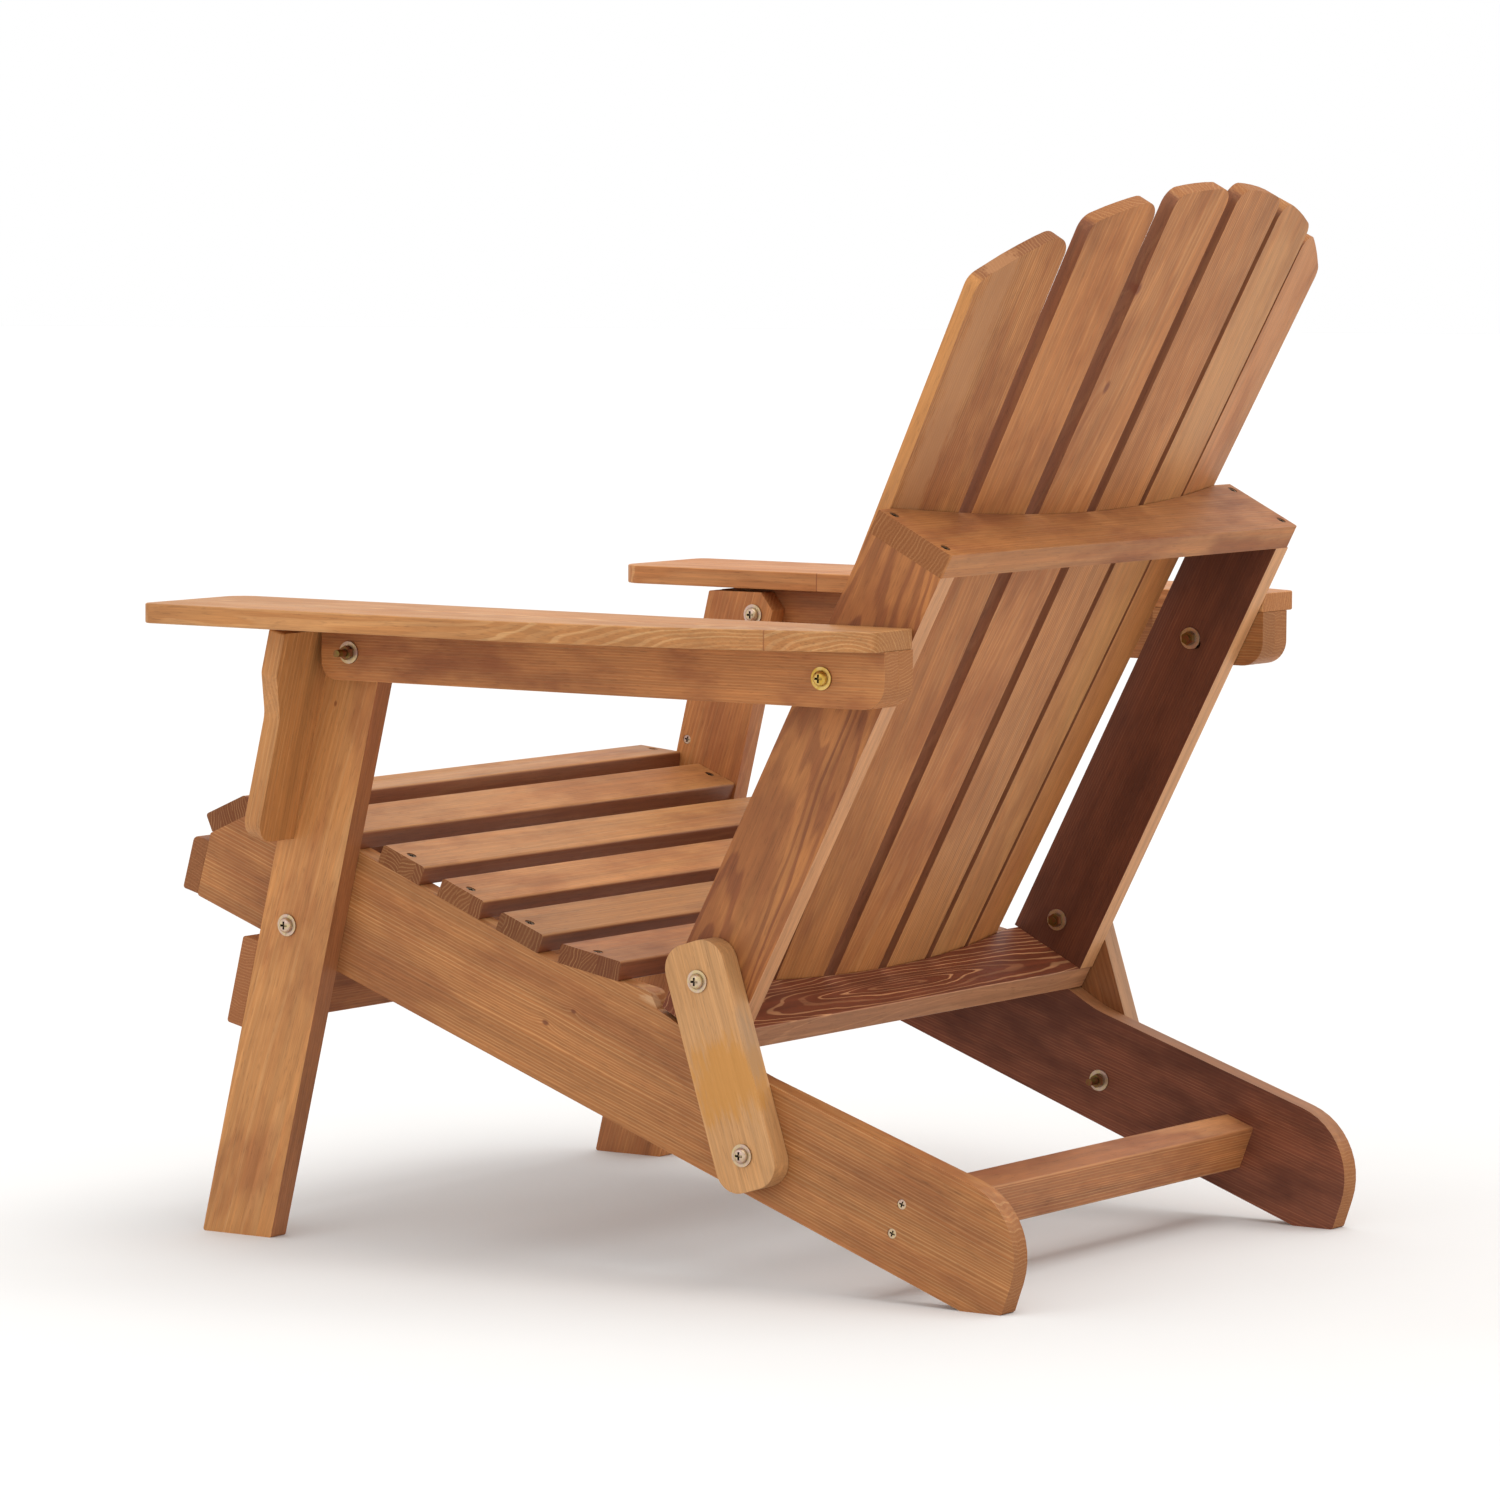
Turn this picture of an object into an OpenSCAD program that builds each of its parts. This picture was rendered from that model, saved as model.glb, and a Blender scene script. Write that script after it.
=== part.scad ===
// Folding adirondack chair in stained softwood boards, drawn open and ready to sit in.
// X runs across the chair with the sitter's left on +X. Y runs from the front edge to the
// back. Z is up from the floor. Side outlines are drawn as [y, z] and given a thickness in X.

/* [Boards] */
// Thickness of the rails, legs, arm rails, links, uprights and braces
board_t = 20; // [18:0.5:21]
// Thickness of the seat slats, armrests, apron, brackets and front stretcher
slat_t = 16; // [14:0.5:17]
// Thickness of the six tall slats of the back
back_slat_t = 12.5; // [9:0.5:13]
// Free play between two boards that swing past each other
play = 0.5; // [0.3:0.1:1]

/* [Seat] */
// Width over the outer faces of the two side rails
seat_w = 544; // [520:2:580]
// Width of the narrow seat slats
seat_slat_w = 44; // [40:1:46]
// Width of the rearmost seat slat
rear_slat_w = 59; // [54:1:62]
// Height of the apron board across the rail noses
apron_h = 46; // [40:1:50]

/* [Arms and legs] */
// Width of the front legs
leg_w = 68; // [64:1:70]
// Height of the arm rails
arm_rail_h = 45; // [42:1:46]
// Width of the armrest boards at the front
armrest_w = 129; // [110:1:150]
// Height of the board that joins the two front legs
stretcher_h = 74; // [60:1:78]
// Width of the links that carry the back
link_w = 56; // [50:1:60]

/* [Back] */
// Width of the back uprights and of the braces at their ends
upright_w = 73; // [68:1:76]
// Width of a back slat where it crosses the top brace
back_slat_w = 72; // [66:0.5:74]
// Even gap between neighbouring back slats where they cross the top brace
back_gap = 13.2; // [11:0.2:16]
// Height of the arched top above the top brace, measured along the slats
arch_rise = 289; // [260:1:320]

/* [Hardware] */
// Diameter of the pivot bolts
bolt_d = 6; // [5:0.5:6]
// Diameter of the washers under the bolt heads and nuts
washer_d = 18; // [16:0.5:20]

/* [Hidden] */

left = 1;
right = -1;
eps = 1;

// Stain colours
wood_color = [0.66, 0.42, 0.24];
sap_color = [0.74, 0.53, 0.33];
zinc_color = [0.74, 0.68, 0.56];
brass_color = [0.78, 0.65, 0.33];

// Shift that centres the footprint on the origin
frame_y = -8.05;

// Layers across the chair, from the middle outwards
rail_out = seat_w / 2;
rail_in = rail_out - board_t;
layer_in = rail_out + play;
layer_out = layer_in + board_t;
arm_in = layer_out + play;
arm_out = arm_in + board_t;

// Pivot centres in the side view
leg_pivot = [-283.6, 258];
arm_front_pivot = [-205.8, 484.5];
arm_rear_pivot = [245.1, 484.5];
link_top_pivot = [118.3, 240.4];
link_foot_pivot = [160.9, 106.9];

// Side rail: corners of the top edge, then the whole outline with a radius for each corner
nose_foot = [-392.5, 274];
nose_top = [-378.5, 326];
crest_front = [-327, 349];
crest_rear = [-283.5, 345];
seat_front = [-272, 338.1];
seat_rear = [-38.9, 244.6];
hump_rear = [59, 226.3];
rail_outline = [
    [each nose_foot, 3],
    [each nose_top, 2],
    [each crest_front, 4],
    [each crest_rear, 12],
    [each seat_front, 12],
    [each seat_rear, 40],
    [each hump_rear, 9],
    [66.5, 212.4, 2],      // notch for the bottom brace, hollowed so the brace can swing
    [104.0, 193.2, 10],
    [113.0, 191.9, 10],    // seat of the bottom brace
    [156.0, 166.8, 90],    // sweep into the rear leg
    [413.0, 80.0, 60],     // rounded rear end
    [385.6, 0, 3],         // foot
    [348.6, 0, 3]
];

// Seat slats: the two corners of the rail each one lies between, its middle, and its width
slat_seats = [
    slat_seat(nose_top, crest_front, -356.6, seat_slat_w),
    slat_seat(crest_front, crest_rear, -304.8, seat_slat_w),
    for (y = [-249.5, -187, -128, -70]) slat_seat(seat_front, seat_rear, y, seat_slat_w),
    slat_seat(seat_rear, hump_rear, -0.4, rear_slat_w)
];
slat_edge_r = 2.5;

// Edge radii of the other boards
sharp_r = 1;
soft_r = 2;
round_r = 3;
apron_top_r = 5;

// Apron: its lower edge above the foot of the nose
apron_lift = 1;

// Rear stretcher between the rails
rear_stretcher_at = [290.5, 66];
rear_stretcher_size = [28, 38];
rear_stretcher_angle = -20.3;
rear_screw_span = 25;

// Front legs: lean of the leg and foot of its front edge
leg_lean = 13.25;
leg_foot_y = -370.8;
leg_top_z = 504;
leg_clip = [[8, 19.5], [19.9, 4]];   // clipped top corner, from the arm pivot
stretcher_drop = 21.5;               // top of the front stretcher below the leg pivot

// Arm bracket: outline across the chair, [distance from the leg face, height up the leg, radius]
bracket_outline = [
    [0, 341.5, 0], [50, 341.5, 19], [50, 446, 30], [65, 482, 14], [65, 518, 2], [0, 518, 0]
];
bracket_screw_heights = [384, 470];

// Arm: underside of the armrest, ends of the arm rail and of the spacer
arm_under_z = 507;
arm_rail_front = -233.8;
arm_rear_end = 302;
arm_front_r = 15;
arm_rear_r = 20;
spacer_front = 196;
armrest_in = 1;
armrest_front = -348;
armrest_straight = -60;       // where the outer edge starts to curve in
armrest_rear_w = 52;
armrest_steps = 14;
armrest_inner_r = 20;
armrest_outer_r = 10;
armrest_rear_r = 8;

// Links
link_reach = 31;
link_foot_reach = 28.5;
link_r = 20;

// Back: lean from vertical and the front top corner of the top brace
back_lean = 27;
back_corner = [269.5, 613];
upright_foot = -426;
upright_play = 0.5;
bow_depth = 26;
bow_half = 245;
bow_r = (bow_half * bow_half + bow_depth * bow_depth) / (2 * bow_depth);
bow_steps = 24;
bottom_brace_front = 3;
slat_clear = 0.06;
slat_drift = [[4, -4], [-5, -3], [-8, -7], [-8, -8], [-5, -5], [1, 3]];   // shift of each slat's two edges
fan_spread = 0.00028;                // growth of all widths per millimetre up the back
arch_r = 420;
arch_corner_r = 14;
arch_marks = [0, 0.33, 0.5, 0.67, 1];    // places across a slat's top that carry the arch

// Bolts, nuts and screws
shank_r = bolt_d / 2;
fixed_gap = 0.1;
swing_gap = 0.4;
nut_gap = 0.05;
washer_t = 1.5;
head_r = 6;
head_h = 4;
head_rim_h = 1.2;
head_crown_r = 3.2;
nut_r = 5.8;
nut_h = 5;
slot_w = 1.8;
slot_l = 6.6;
slot_depth = 2.6;
short_tip = 1;
long_tip = 11;
screw_head_r = 4;
screw_shank_r = 2;
screw_head_h = 3;
seat_screw_l = 42;
bracket_screw_l = 50;
side_screw_l = 50;
brace_screw_l = 55;
brace_screw_depths = [9, 61];
screw_sink = 0.6;
screw_cross_w = 1.3;
screw_cross_l = 4.8;
screw_cross_depth = 1.8;
round_fn = 48;
arc_step = 9;
crown_step = 18;

// Slot in the upright for the wander of the arm's rear bolt, from the pivot: [depth, along, radius]
sweep_outline = [[-10.6, -5.6, 4.2], [10.6, -6.4, 4.6], [10.6, 3.4, 4.6], [-10.6, 3.4, 4.2]];

// ---------- outline helpers ----------

// Middle of a slat's underside on the line from a to b, with its angle and width
function slat_seat(a, b, y, w) =
    let (slope = (b[1] - a[1]) / (b[0] - a[0]))
    [[y, a[1] + (y - a[0]) * slope], atan(slope), w];

function unit(v) = v / norm(v);
function short_turn(a) = a > 180 ? a - 360 : a < -180 ? a + 360 : a;

// Points of one rounded corner p between its neighbours a and b
function corner(a, p, b, r) =
    r == 0 ? [p] :
    let (
        u = unit(a - p),
        v = unit(b - p),
        half = acos(u * v) / 2,
        reach = r / tan(half),
        centre = p + unit(u + v) * r / sin(half),
        from = p + u * reach - centre,
        to = p + v * reach - centre,
        start = atan2(from[1], from[0]),
        turn = short_turn(atan2(to[1], to[0]) - start),
        steps = max(1, ceil(abs(turn) / arc_step))
    )
    [for (i = [0:steps]) centre + r * [cos(start + turn * i / steps), sin(start + turn * i / steps)]];

function flat(p) = [p[0], p[1]];

// Depth of the bowed front edge of the braces at a distance x from the middle
function bow_at(x) = bow_depth - bow_r + sqrt(bow_r * bow_r - x * x);

// Outline with every point [x, y, r] rounded by its own radius
function rounded(points) =
    let (n = len(points))
    [for (i = [0:n - 1])
        let (before = points[(i + n - 1) % n], after = points[(i + 1) % n])
        each corner(flat(before), flat(points[i]), flat(after), points[i][2])];

// Gives a side outline a thickness from x0 outwards
module slab(x0, t) {
    rotate([90, 0, 90])
        translate([0, 0, x0])
            linear_extrude(t)
                children();
}

// Draws its children on the left, or mirrored on the right
module on_side(side) {
    translate([0, frame_y, 0])
        mirror([side == right ? 1 : 0, 0, 0])
            children();
}

// Cylinder along X with its centre line at the side view point p
module rod(p, x0, x1, r) {
    translate([x0, p[0], p[1]])
        rotate([0, 90, 0])
            cylinder(h = x1 - x0, r = r, $fn = round_fn);
}

// Turns local X, Y to lie along a slope in the side view
module on_slope(p, angle) {
    translate([0, p[0], p[1]])
        rotate([angle, 0, 0])
            children();
}

// Local frame of the back: X across, Y rearwards, Z up along the slats
module back_frame() {
    translate([0, back_corner[0], back_corner[1]])
        rotate([-back_lean, 0, 0])
            children();
}

// Local frame of a front leg: Y rearwards from its front edge, Z up along the leg
module leg_frame() {
    translate([0, leg_foot_y, 0])
        rotate([-leg_lean, 0, 0])
            children();
}

// ---------- hardware ----------

// Cross recess in a head that faces +Z at z = 0
module cross_cut(l, w, depth) {
    for (turn = [0, 90])
        rotate(turn)
            translate([-l / 2, -w / 2, -depth])
                cube([l, w, depth + eps]);
}

// Low domed head standing on z = 0
module pan_head() {
    crown_h = head_h - head_rim_h;
    rotate_extrude($fn = round_fn)
        polygon(concat(
            [[0, 0], [head_r, 0]],
            [for (turn = [0:crown_step:90])
                [head_r - head_crown_r * (1 - cos(turn)), head_rim_h + crown_h * sin(turn)]],
            [[0, head_h]]
        ));
}

// Bolt along +X from its head at x0 to its nut at x1, with a washer on each side
module bolt_set(x0, x1, tip) {
    rotate([0, 90, 0]) {
        difference() {
            union() {
                translate([0, 0, x0 - washer_t])
                    mirror([0, 0, 1])
                        pan_head();
                translate([0, 0, x0 - washer_t - eps])
                    cylinder(h = x1 - x0 + 2 * washer_t + eps + nut_h + tip, r = shank_r, $fn = round_fn);
            }
            translate([0, 0, x0 - washer_t - head_h])
                mirror([0, 0, 1])
                    cross_cut(slot_l, slot_w, slot_depth);
        }
        for (z = [x0 - washer_t, x1])
            translate([0, 0, z])
                difference() {
                    cylinder(h = washer_t, r = washer_d / 2, $fn = round_fn);
                    translate([0, 0, -eps])
                        cylinder(h = washer_t + 2 * eps, r = shank_r + 2 * fixed_gap, $fn = round_fn);
                }
        translate([0, 0, x1 + washer_t])
            difference() {
                cylinder(h = nut_h, r = nut_r, $fn = 6);
                translate([0, 0, -eps])
                    cylinder(h = nut_h + 2 * eps, r = shank_r + nut_gap, $fn = round_fn);
            }
    }
}

// Bolt set at a pivot, head towards the middle when inward is true
module pivot_bolt(p, x0, x1, tip, inward = false) {
    translate([0, p[0], p[1]])
        if (inward)
            bolt_set(x0, x1, tip);
        else
            translate([x0 + x1, 0, 0])
                mirror([1, 0, 0])
                    bolt_set(x0, x1, tip);
}

// Countersunk screw pointing down -Z with its head at z = 0; grow widens it for its own hole
module screw(l, grow = 0) {
    difference() {
        union() {
            translate([0, 0, -screw_head_h])
                cylinder(
                    h = screw_head_h, r1 = screw_shank_r + grow, r2 = screw_head_r + grow, $fn = round_fn
                );
            if (grow > 0)
                translate([0, 0, -grow])
                    cylinder(h = grow + eps, r = screw_head_r + grow, $fn = round_fn);
            translate([0, 0, -l - grow])
                cylinder(h = l + grow - screw_head_h + eps, r = screw_shank_r + grow, $fn = round_fn);
        }
        if (grow == 0)
            cross_cut(screw_cross_l, screw_cross_w, screw_cross_depth);
    }
}

// Screws of the seat slats, one near each end over the middle of the rail
module seat_screw_set(side, i, grow = 0) {
    on_slope(slat_seats[i][0], slat_seats[i][1])
        translate([side * (rail_out - board_t / 2), 0, slat_t - screw_sink])
            screw(seat_screw_l, grow);
}

// Screws through one rail into the end of the rear stretcher
module side_screw_set(side, grow = 0) {
    on_slope(rear_stretcher_at, rear_stretcher_angle)
        for (k = [-0.5, 0.5])
            translate([side * (rail_out - screw_sink), 0, k * rear_screw_span])
                rotate([0, side * 90, 0])
                    screw(side_screw_l, grow);
}

// Screws through one leg into the edge of its bracket
module bracket_screw_set(side, grow = 0) {
    leg_frame()
        for (h = bracket_screw_heights)
            translate([side * (layer_in + screw_sink), slat_t / 2, h])
                rotate([0, -side * 90, 0])
                    screw(bracket_screw_l, grow);
}

// Screws down through one end of the top brace into its upright
module brace_screw_set(side, grow = 0) {
    back_frame()
        for (d = brace_screw_depths)
            translate([side * (rail_out - board_t / 2), d, -screw_sink])
                screw(brace_screw_l, grow);
}

// ---------- seat frame ----------

module rail(side) {
    color(wood_color)
        on_side(side)
            difference() {
                slab(rail_in, board_t)
                    polygon(rounded(rail_outline));
                rod(leg_pivot, rail_in - eps, rail_out + eps, shank_r + swing_gap);
                rod(link_foot_pivot, rail_in - eps, rail_out + eps, shank_r + fixed_gap);
                for (i = [0:len(slat_seats) - 1])
                    seat_screw_set(left, i, fixed_gap);
                side_screw_set(left, fixed_gap);
            }
}

module seat_slat(i) {
    w = slat_seats[i][2];
    color(wood_color)
        translate([0, frame_y, 0])
            difference() {
                on_slope(slat_seats[i][0], slat_seats[i][1])
                    slab(-rail_out, seat_w)
                        polygon(rounded([
                            [-w / 2, 0, sharp_r], [w / 2, 0, sharp_r],
                            [w / 2, slat_t, slat_edge_r], [-w / 2, slat_t, slat_edge_r]
                        ]));
                for (side = [left, right])
                    seat_screw_set(side, i, fixed_gap);
            }
}

module apron() {
    slope = atan2(nose_top[1] - nose_foot[1], nose_top[0] - nose_foot[0]);
    color(wood_color)
        translate([0, frame_y, 0])
            on_slope(nose_foot, slope)
                slab(-rail_out, seat_w)
                    polygon(rounded([
                        [apron_lift, 0, sharp_r], [apron_lift + apron_h, 0, sharp_r],
                        [apron_lift + apron_h, slat_t, apron_top_r], [apron_lift, slat_t, slat_edge_r]
                    ]));
}

module rear_stretcher() {
    w = rear_stretcher_size[0];
    h = rear_stretcher_size[1];
    color(wood_color)
        translate([0, frame_y, 0])
            difference() {
                on_slope(rear_stretcher_at, rear_stretcher_angle)
                    slab(-rail_in, 2 * rail_in)
                        polygon(rounded([
                            [-w / 2, -h / 2, soft_r], [w / 2, -h / 2, soft_r],
                            [w / 2, h / 2, soft_r], [-w / 2, h / 2, soft_r]
                        ]));
                for (side = [left, right])
                    side_screw_set(side, fixed_gap);
            }
}

module seat_screws() {
    color(zinc_color)
        translate([0, frame_y, 0])
            for (side = [left, right], i = [0:len(slat_seats) - 1])
                seat_screw_set(side, i);
}

module stretcher_screws() {
    color(zinc_color)
        translate([0, frame_y, 0])
            for (side = [left, right])
                side_screw_set(side);
}

module link_lower_bolts() {
    color(zinc_color)
        for (side = [left, right])
            on_side(side)
                pivot_bolt(link_foot_pivot, rail_in, layer_out, long_tip);
}

// ---------- front legs ----------

module leg(side) {
    tilt = tan(leg_lean);
    rear_foot_y = leg_foot_y + leg_w / cos(leg_lean);
    clip = [for (c = leg_clip) arm_front_pivot + c];
    outline = [
        [leg_foot_y, 0, soft_r], [rear_foot_y, 0, soft_r],
        [rear_foot_y + clip[1][1] * tilt, clip[1][1], round_r], [clip[0][0], leg_top_z, round_r],
        [leg_foot_y + leg_top_z * tilt, leg_top_z, soft_r]
    ];
    color(wood_color)
        on_side(side)
            difference() {
                slab(layer_in, board_t)
                    polygon(rounded(outline));
                rod(leg_pivot, layer_in - eps, layer_out + eps, shank_r + fixed_gap);
                rod(arm_front_pivot, layer_in - eps, layer_out + eps, shank_r + fixed_gap);
                bracket_screw_set(left, fixed_gap);
            }
}

module front_stretcher() {
    along = (leg_pivot[0] - leg_foot_y) * sin(leg_lean) + leg_pivot[1] * cos(leg_lean);
    color(wood_color)
        translate([0, frame_y, 0])
            leg_frame()
                translate([0, 0, along - stretcher_drop - stretcher_h])
                    slab(-layer_out, 2 * layer_out)
                        polygon(rounded([
                            [-slat_t, 0, slat_edge_r], [0, 0, sharp_r],
                            [0, stretcher_h, sharp_r], [-slat_t, stretcher_h, slat_edge_r]
                        ]));
}

module bracket(side) {
    color(wood_color)
        on_side(side)
            difference() {
                leg_frame()
                    translate([layer_out, slat_t, 0])
                        rotate([90, 0, 0])
                            linear_extrude(slat_t)
                                polygon(rounded(bracket_outline));
                bracket_screw_set(left, fixed_gap);
            }
}

module bracket_screws() {
    color(zinc_color)
        translate([0, frame_y, 0])
            for (side = [left, right])
                bracket_screw_set(side);
}

module leg_bolts() {
    color(zinc_color)
        for (side = [left, right])
            on_side(side)
                pivot_bolt(leg_pivot, rail_in, layer_out, short_tip);
}

module arm_front_bolts() {
    color(zinc_color)
        for (side = [left, right])
            on_side(side)
                pivot_bolt(arm_front_pivot, layer_in, arm_out, long_tip, inward = true);
}

// ---------- arms ----------

module arm_rail(side) {
    outline = [
        [arm_rail_front, arm_under_z - arm_rail_h, arm_front_r],
        [arm_rear_end, arm_under_z - arm_rail_h, arm_rear_r],
        [arm_rear_end, arm_under_z, 0],
        [arm_rail_front, arm_under_z, 0]
    ];
    color(wood_color)
        on_side(side)
            difference() {
                slab(arm_in, board_t)
                    polygon(rounded(outline));
                rod(arm_front_pivot, arm_in - eps, arm_out + eps, shank_r + swing_gap);
                rod(arm_rear_pivot, arm_in - eps, arm_out + eps, shank_r + fixed_gap);
            }
}

module arm_spacer(side) {
    outline = [
        [spacer_front, arm_under_z - arm_rail_h, round_r],
        [arm_rear_end, arm_under_z - arm_rail_h, arm_rear_r],
        [arm_rear_end, arm_under_z, 0],
        [spacer_front, arm_under_z, 0]
    ];
    color(wood_color)
        on_side(side)
            difference() {
                slab(layer_in, arm_in - layer_in)
                    polygon(rounded(outline));
                rod(arm_rear_pivot, layer_in - eps, arm_in + eps, shank_r + fixed_gap);
            }
}

// Plan outline of an armrest: straight outer edge at the front, curved in towards the rear
module armrest(side) {
    inner = rail_out + armrest_in;
    outer = inner + armrest_w;
    curve_l = arm_rear_end - armrest_straight;
    curve_w = armrest_w - armrest_rear_w;
    curve_r = (curve_l * curve_l + curve_w * curve_w) / (2 * curve_w);
    outline = concat(
        [[inner, armrest_front, armrest_inner_r], [outer, armrest_front, armrest_outer_r]],
        [for (i = [0:armrest_steps])
            let (y = curve_l * i / armrest_steps)
            [outer - curve_r + sqrt(curve_r * curve_r - y * y), armrest_straight + y,
             i == armrest_steps ? armrest_rear_r : 0]],
        [[inner, arm_rear_end, soft_r]]
    );
    color(wood_color)
        on_side(side)
            translate([0, 0, arm_under_z])
                linear_extrude(slat_t)
                    polygon(rounded(outline));
}

module arm_rear_bolt(side) {
    color(brass_color)
        on_side(side)
            pivot_bolt(arm_rear_pivot, rail_in - play, arm_out, short_tip);
}

// ---------- links ----------

module link(side) {
    span = norm(link_top_pivot - link_foot_pivot);
    lean = atan2(link_foot_pivot[0] - link_top_pivot[0], link_top_pivot[1] - link_foot_pivot[1]);
    w = link_w / 2;
    color(sap_color)
        on_side(side)
            difference() {
                on_slope(link_foot_pivot, lean)
                    slab(layer_in, board_t)
                        polygon(rounded([
                            [-w, -link_foot_reach, link_r], [w, -link_foot_reach, link_r],
                            [w, span + link_reach, link_r], [-w, span + link_reach, link_r]
                        ]));
                rod(link_foot_pivot, layer_in - eps, layer_out + eps, shank_r + swing_gap);
                rod(link_top_pivot, layer_in - eps, layer_out + eps, shank_r + swing_gap);
            }
}

// ---------- back ----------

// Plan outline of a brace: straight rear edge and a front edge bowed rearwards
module brace(front) {
    half = rail_out - upright_play;
    half_bow = sqrt(bow_r * bow_r - pow(bow_r - bow_depth + front, 2));
    color(wood_color)
        linear_extrude(board_t)
            polygon(concat(
                rounded([
                    [-half, front, 0], [-half, upright_w, round_r],
                    [half, upright_w, round_r], [half, front, 0]
                ]),
                [for (i = [0:bow_steps])
                    let (x = half_bow * (1 - 2 * i / bow_steps))
                    [x, bow_at(x)]]
            ));
}

module top_brace() {
    translate([0, frame_y, 0])
        difference() {
            back_frame()
                translate([0, 0, -board_t])
                    brace(0);
            for (side = [left, right])
                brace_screw_set(side, fixed_gap);
        }
}

module bottom_brace() {
    translate([0, frame_y, 0])
        back_frame()
            translate([0, 0, upright_foot - board_t])
                brace(bottom_brace_front);
}

module upright(side) {
    color(wood_color)
        on_side(side)
            difference() {
                back_frame()
                    translate([rail_in - upright_play, 0, upright_foot])
                        cube([board_t, upright_w, -upright_foot - board_t]);
                rod(link_top_pivot, rail_in - eps, rail_out + eps, shank_r + fixed_gap);
                bolt_sweep();
                brace_screw_set(left, fixed_gap);
            }
}

// Slot in the upright that lets the arm's rear bolt wander while the chair folds
module bolt_sweep() {
    on_slope(arm_rear_pivot, -back_lean)
        slab(rail_in - eps, board_t + eps)
            polygon(rounded(sweep_outline));
}

// Left and right edge of a back slat where it crosses the top brace, numbered from the left
function slat_edges(i) =
    let (
        n = len(slat_drift),
        edge = (n * back_slat_w + (n - 1) * back_gap) / 2 - i * (back_slat_w + back_gap)
    )
    [edge + slat_drift[i][0], edge - back_slat_w + slat_drift[i][1]];

// Fanned slat set flat against the bow of the braces, with its top cut to the arch
module back_slat(i) {
    edges = slat_edges(i);
    foot = upright_foot - board_t;
    middle = (edges[0] + edges[1]) / 2;
    function spread(h) = 1 + fan_spread * h;
    turn = asin(middle * (1 + spread(foot)) / 2 / bow_r);
    depth = min([for (e = edges, h = [0, foot])
        let (x = e * spread(h))
        bow_at(x) + (x - middle) * tan(turn)]);
    function local(x) = (x - middle) / cos(turn);
    function arch(x) = arch_rise - arch_r + sqrt(arch_r * arch_r - x * x);
    tops = [for (e = edges) e * spread(arch(e * spread(arch_rise)))];
    outline = concat(
        [for (k = [1, 0]) [local(edges[k] * spread(foot)), foot, soft_r]],
        [for (k = arch_marks)
            let (x = tops[0] + (tops[1] - tops[0]) * k)
            [local(x), arch(x), k == 0 || k == 1 ? arch_corner_r : 0]]
    );
    color(wood_color)
        translate([0, frame_y, 0])
            back_frame()
                translate([middle, depth - slat_clear, 0])
                    rotate([0, 0, -turn])
                        rotate([90, 0, 0])
                            linear_extrude(back_slat_t)
                                polygon(rounded(outline));
}

module brace_screws() {
    color(zinc_color)
        translate([0, frame_y, 0])
            for (side = [left, right])
                brace_screw_set(side);
}

module link_upper_bolts() {
    color(zinc_color)
        for (side = [left, right])
            on_side(side)
                pivot_bolt(link_top_pivot, rail_in - play, layer_out, short_tip);
}

// ---------- nodes ----------

rail(left);  // rail_left
rail(right);  // rail_right
apron();
rear_stretcher();
for (i = [0:len(slat_seats) - 1])
    seat_slat(i);
seat_screws();
stretcher_screws();
link_lower_bolts();
leg(left);  // leg_left
leg(right);  // leg_right
front_stretcher();
bracket(left);  // bracket_left
bracket(right);  // bracket_right
bracket_screws();
leg_bolts();
arm_front_bolts();
arm_rail(left);  // arm_rail_left
armrest(left);  // armrest_left
arm_spacer(left);  // arm_spacer_left
arm_rear_bolt(left);  // arm_rear_bolt_left
arm_rail(right);  // arm_rail_right
armrest(right);  // armrest_right
arm_spacer(right);  // arm_spacer_right
arm_rear_bolt(right);  // arm_rear_bolt_right
link(left);  // link_left
link(right);  // link_right
upright(left);  // upright_left
upright(right);  // upright_right
top_brace();
bottom_brace();
for (i = [0:len(slat_drift) - 1])
    back_slat(i);
brace_screws();
link_upper_bolts();
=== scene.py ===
"""Looks of the folding adirondack chair: stained softwood, zinc plated screws and bolts, a pale studio."""

import math
import random

import bmesh
import bpy
from mathutils import Matrix, Vector

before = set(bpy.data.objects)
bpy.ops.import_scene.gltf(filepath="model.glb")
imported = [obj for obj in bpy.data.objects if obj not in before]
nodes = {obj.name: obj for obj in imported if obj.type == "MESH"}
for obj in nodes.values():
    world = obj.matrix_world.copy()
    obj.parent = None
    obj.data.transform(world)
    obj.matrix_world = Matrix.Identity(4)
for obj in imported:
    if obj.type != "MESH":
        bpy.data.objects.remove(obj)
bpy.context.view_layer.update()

# ---------------------------------------------------------------- lengths, in metres
MM = 0.001
MERGE = 0.01 * MM  # points closer than this are one point
EDGE_RADIUS = 1.3 * MM  # sanded edge of a board
SLAT_RADIUS = 0.15 * MM  # the back slats, whose gaps would let light through if they were rounder
METAL_RADIUS = 0.25 * MM
FLAT_ANGLE = math.radians(0.6)  # facets that meet flatter than this are one face
SHARP_ANGLE = math.radians(32)  # edges sharper than this are rounded
SAME_WAY = math.cos(math.radians(4))  # directions that agree better than this are one direction
IN_PLANE = 0.1  # edges leaning out of the face by less than this lie in it
BOARD_SEGMENTS, METAL_SEGMENTS = 3, 2  # steps round a softened edge


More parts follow.
